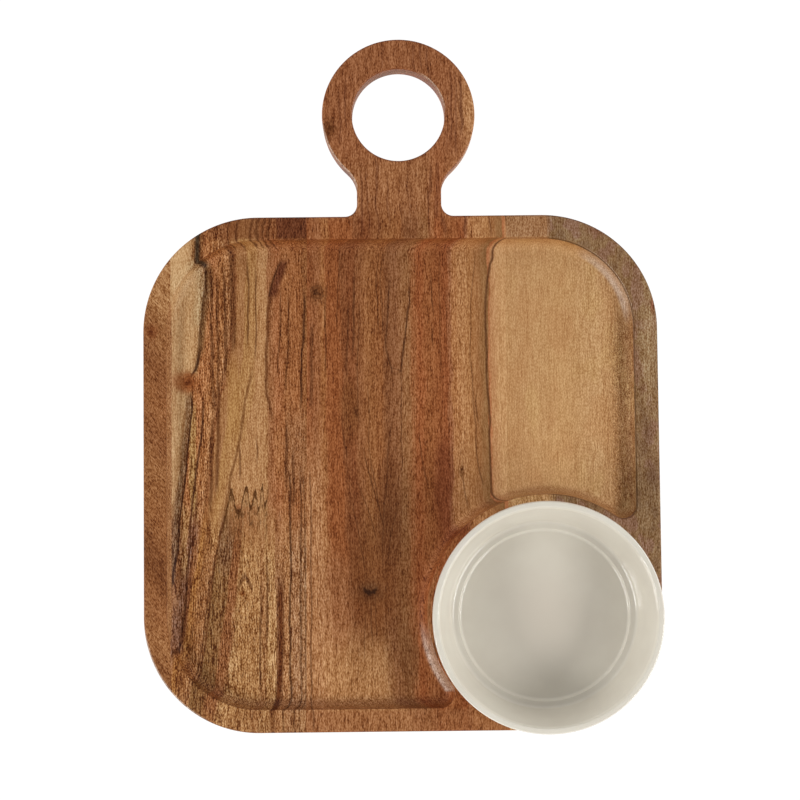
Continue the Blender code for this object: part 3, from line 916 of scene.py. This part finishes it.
def handle_marks(wood):
    """Marks in the top layer of the handle stave and its ring, and the round knots."""
    before = wood.colour
    across = wood.add(wood.x, wood.add(wood.wander, wood.wander))
    for low, high, place, width, amount in (
        (141, 178, -22, 0.6, 0.8), (141, 180, -18.6, 0.5, 0.7), (141, 186, -13, 0.7, 0.8),
        (145, 176, -7, 0.5, 0.7), (141, 160, 0.5, 0.5, 0.6), (152, 180, 6, 0.4, 0.5),
        (141, 182, 18.3, 0.7, 0.8), (150, 184, 22.6, 1.3, 0.7), (141, 152, 26, 1.2, 0.8),
        (141, 152, 38.7, 0.7, 0.95), (141, 152, 54.6, 0.6, 0.8), (196, 240, 31, 0.6, 0.8),
        (190, 238, 33.5, 0.6, 0.7), (202, 236, 36.6, 1.0, 0.9), (192, 226, 28.6, 0.5, 0.6),
        (240, 258, 14, 0.7, 0.7), (234, 258, 18.4, 0.9, 0.7), (238, 256, 9.5, 0.5, 0.6),
        (196, 228, -36, 0.6, 0.7), (206, 232, -32.5, 0.6, 0.7), (240, 256, -9, 0.5, 0.5),
        (244, 258, 26, 0.5, 0.5),
    ):
        mark = wood.near(across, place, width * 0.2, width * 1.5)
        wood.tint(wood.mul(mark, wood.window(low, high, 4)), "5a2a14", amount * 0.7)
    flat = wood.u
    wood.u = wood.x
    wood.knot((-41, 205), (2.6, 3.4), "512609", "6f3d1c")
    wood.u = flat
    wood.colour = wood.mix(wood.span(wood.depth, 4, 2), before, wood.colour)
    wood.knot((-49.5, 107.5), (3.0, 3.2), "3c1b08", "734220")
    wood.knot((-27, 36), (1.0, 2.6), "552a10", "70411f", 2.4)
    wood.knot((35.5, 0.5), (1.0, 2.6), "5a2f12", "87552e", 2.2)


def smile(wood):
    """Crescent-shaped knot with a greyish eye above it."""
    across = wood.add(wood.x, 19.5)
    level = wood.sub(wood.y, wood.mul(wood.mul(across, across), 0.12))
    rough = wood.span(wood.noise(wood.place, (1.4, 1.4, 1.4), seed=71.0), 0.25, 0.75, -0.7, 0.7)
    level = wood.add(level, rough)
    wood.tint(wood.spot(wood.x, (-19.5, -68), (6, 4)), "74492a", 0.8)
    wood.tint(wood.spot(wood.x, (-19.5, -72), (7.5, 4)), "512a12", 0.7)
    arch = wood.mul(wood.near(level, -71.0, 0.7, 2.2), wood.near(wood.x, -19.5, 2.8, 5.2))
    wood.tint(arch, "2e1507", 0.9)


def right_wood():
    """Pale sapwood over most of the stave, under a thin greyish brown layer at the top and the right."""
    wood = Wood("wood_right", 0.3, 53.0)
    wood.begin(((60, "b38454"), (70, "b48556"), (84, "b68858"), (95, "b78958"), (115, "b88b5c"),
                (128, "b48455"), (136, "a4764a"), (153, "a87a50")), 3.0)
    cloud = wood.noise(wood.place, (16, 34, 16), detail=1.0, seed=57.0)
    wood.tint(wood.span(cloud, 0.52, 0.66), "b98e5a", 0.5)
    wood.tint(wood.span(cloud, 0.44, 0.32), "b07f50", 0.6)
    rim = wood.span(wood.depth, 5, 2)
    wood.tint(wood.mul(rim, wood.window(RIM_INNER - 1, OUTSIDE, 2)), "926440", 0.85)
    curls(wood)
    grey_layer(wood)
    contrast = wood.curve(wood.x, ((62, 0.40), (90, 0.40), (110, 0.50), (134, 0.7), (142, 0.95), (153, 0.95)))
    return wood.finish(0.25, wood.math("MAXIMUM", contrast, wood.mul(rim, 0.8)))


def grey_layer(wood):
    """The thin greyish brown layer of the right stave, blotched, with painted shade as a dark line where the
    walls turn steep just under the top.
    """
    skin_depth = wood.curve(wood.x, ((84, 2.0), (100, 2.6), (125, 3.0), (136, 3.2), (141, 3.6), (153, 7.0)))
    layer = wood.span(wood.sub(wood.depth, skin_depth), 0.5, -0.5)
    layer = wood.mul(layer, wood.span(wood.ragged, 84, 88))
    wood.tint(layer, "80603f", 0.9)
    blotch = wood.noise(wood.place, (9, 15, 9), detail=2.0, seed=58.0)
    wood.tint(wood.mul(layer, wood.span(blotch, 0.5, 0.62)), "87614b", 0.75)
    wood.tint(wood.mul(layer, wood.span(blotch, 0.46, 0.36)), "75553a", 0.6)
    wood.tint(wood.mul(layer, wood.spot(wood.x, (147, 74), (5, 34))), "9b7a54", 0.8)
    # Painted shade: a dark line where the pocket's wall turns steep, just under the top
    edge = wood.mul(wood.near(wood.depth, 1.4, 0.5, 1.3), wood.span(wood.y, -30, -10))
    wood.tint(wood.mul(layer, edge), "5f4428", 0.8)
    for centre, size, code in (
        ((145, 21), (3.2, 13), "6b4a33"), ((148, -3), (4, 8), "66442f"),
        ((149.6, 97), (1.0, 4.5), "7a3a22"), ((118, 142), (6, 4), "7a5038"),
    ):
        wood.tint(wood.mul(layer, wood.spot(wood.x, centre, size)), code, 0.75)


def curls(wood):
    """Short curly dark flecks near the right wall of the pocket."""
    fleck = wood.noise(wood.place, (1.5, 2.6, 1.5), detail=1.0, distortion=1.6, seed=59.0)
    zone = wood.mul(wood.span(wood.ragged, 120, 131), wood.span(wood.ragged, 142, 139))
    zone = wood.mul(zone, wood.window(-22, 92, 10))
    wood.tint(wood.mul(wood.near(fleck, 0.5, 0.02, 0.07), zone), "74431f", 0.9)


def glaze():
    """Glossy cream glaze, a little uneven, with painted shade in the middle of the floor that evens out the
    light falling on it.
    """
    net = Net("glaze_cream")
    cloud = net.noise(net.place, (22, 22, 22), detail=3.0)
    cream = net.mix(net.span(cloud, 0.3, 0.7), srgb("ded8ca"), srgb("d9d2c4"))
    base = BOWL_LOW.z / MM
    # Painted shade: the floor's middle is darker, which evens out the light that falls on it
    centre_shade = net.spot(net.x, (BOWL_CENTRE.x / MM, BOWL_CENTRE.y / MM), (30, 30))
    centre_shade = net.mul(centre_shade, net.span(net.z, base + 8, base + 6))
    net.set_inputs(net.shader, {
        "Base Color": net.mix(centre_shade, cream, srgb("d0c7b9")),
        "Roughness": net.span(cloud, 0.3, 0.7, 0.05, 0.08),
        "Specular IOR Level": 0.7,
    })
    speck = net.noise(net.place, (1.3, 1.3, 1.3), detail=1.0, seed=4.0)
    wave = net.noise(net.place, (9, 9, 9), detail=2.0, seed=2.0)
    net.bump(net.add(wave, net.mul(speck, 0.05)), 0.06, 0.3)
    return net.material


# ---- studio

FLOOR_HALF = 3.0
FLOOR_DROP = 0.2 * MM


def floor():
    """Plain floor just under the board. Its own glow keeps it an even white."""
    bm = bmesh.new()
    corners = ((-1, -1), (1, -1), (1, 1), (-1, 1))
    bm.faces.new([bm.verts.new((x * FLOOR_HALF, y * FLOOR_HALF, -FLOOR_DROP)) for x, y in corners])
    item = new_object("studio_floor", bm)
    net = Net("floor_white")
    net.set_inputs(net.shader, {
        "Base Color": (0.05, 0.05, 0.05, 1.0),
        "Roughness": 0.8,
        "Emission Color": (1.0, 1.0, 1.0, 1.0),
        "Emission Strength": 1.0,
    })
    item.data.materials.append(net.material)


def soft_box(name, azimuth, elevation, distance, width, height, power):
    """Area light aimed at the middle of the board: degrees, metres and watts."""
    light = bpy.data.lights.new(name, "AREA")
    light.shape = "RECTANGLE"
    light.size = width
    light.size_y = height
    light.energy = power
    item = placed(name, light)
    a = math.radians(azimuth)
    e = math.radians(elevation)
    direction = Vector((math.cos(a) * math.cos(e), math.sin(a) * math.cos(e), math.sin(e)))
    item.location = direction * distance
    item.rotation_euler = direction.to_track_quat("Z", "Y").to_euler()


HORIZON = 1.20      # strength of the surround at eye level
ZENITH = 0.18       # and straight above
BACKLIGHT = 0.25    # how much brighter it is on the handle's side


def studio():
    """Two soft boxes on the near side, and a white surround that dims towards the top."""
    soft_box("soft_box_left", azimuth=207, elevation=32, distance=1.6, width=0.78, height=0.3, power=11.5)
    soft_box("soft_box_right", azimuth=334, elevation=32, distance=1.6, width=1.04, height=0.35, power=13)
    world = bpy.data.worlds.new("studio_world")
    world.use_nodes = True
    nodes = world.node_tree.nodes
    links = world.node_tree.links
    background = nodes["Background"]
    background.inputs["Color"].default_value = (1.0, 1.0, 1.0, 1.0)
    place = nodes.new("ShaderNodeTexCoord")
    height = nodes.new("ShaderNodeVectorMath")
    height.operation = "DOT_PRODUCT"
    height.inputs[1].default_value = (0.0, -BACKLIGHT, 1.0)
    fade = nodes.new("ShaderNodeMapRange")
    fade.clamp = False
    fade.inputs["To Min"].default_value = HORIZON
    fade.inputs["To Max"].default_value = ZENITH
    links.new(place.outputs["Generated"], height.inputs[0])
    links.new(height.outputs["Value"], fade.inputs["Value"])
    links.new(fade.outputs[0], background.inputs["Strength"])
    bpy.context.scene.world = world
    bpy.context.scene.view_settings.view_transform = "Standard"


CAMERA_LENS = 85.5
CAMERA_X, CAMERA_Y = -8.14 * MM, -26.2 * MM
CAMERA_HEIGHT = 1121.0 * MM      # above the board's top
CAMERA_TURNS = (("X", 3.502), ("Y", -0.380), ("Z", -0.573))      # degrees


def camera():
    """Camera almost straight above, a little towards the side away from the handle."""
    data = bpy.data.cameras.new("camera")
    data.sensor_width = 36.0
    data.lens = CAMERA_LENS
    data.clip_end = 20.0
    item = placed("camera", data)
    turn = Matrix.Identity(4)
    for axis, degrees in CAMERA_TURNS:
        turn = turn @ Matrix.Rotation(math.radians(degrees), 4, axis)
    item.matrix_world = Matrix.Translation((CAMERA_X, CAMERA_Y, CAMERA_HEIGHT + THICKNESS)) @ turn
    bpy.context.scene.camera = item


# ---- assembly

WOODS = (left_edge_wood, left_wood, handle_wood, right_wood)
for number, stave in enumerate(STAVES):
    piece = stave_object(number)
    piece.data.materials.append(WOODS[number]())
    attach(piece, "board")
    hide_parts(stave)

bowl = bowl_object()
bowl.data.materials.append(glaze())
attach(bowl, "bowl")
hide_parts("dip_bowl")

floor()
studio()
camera()
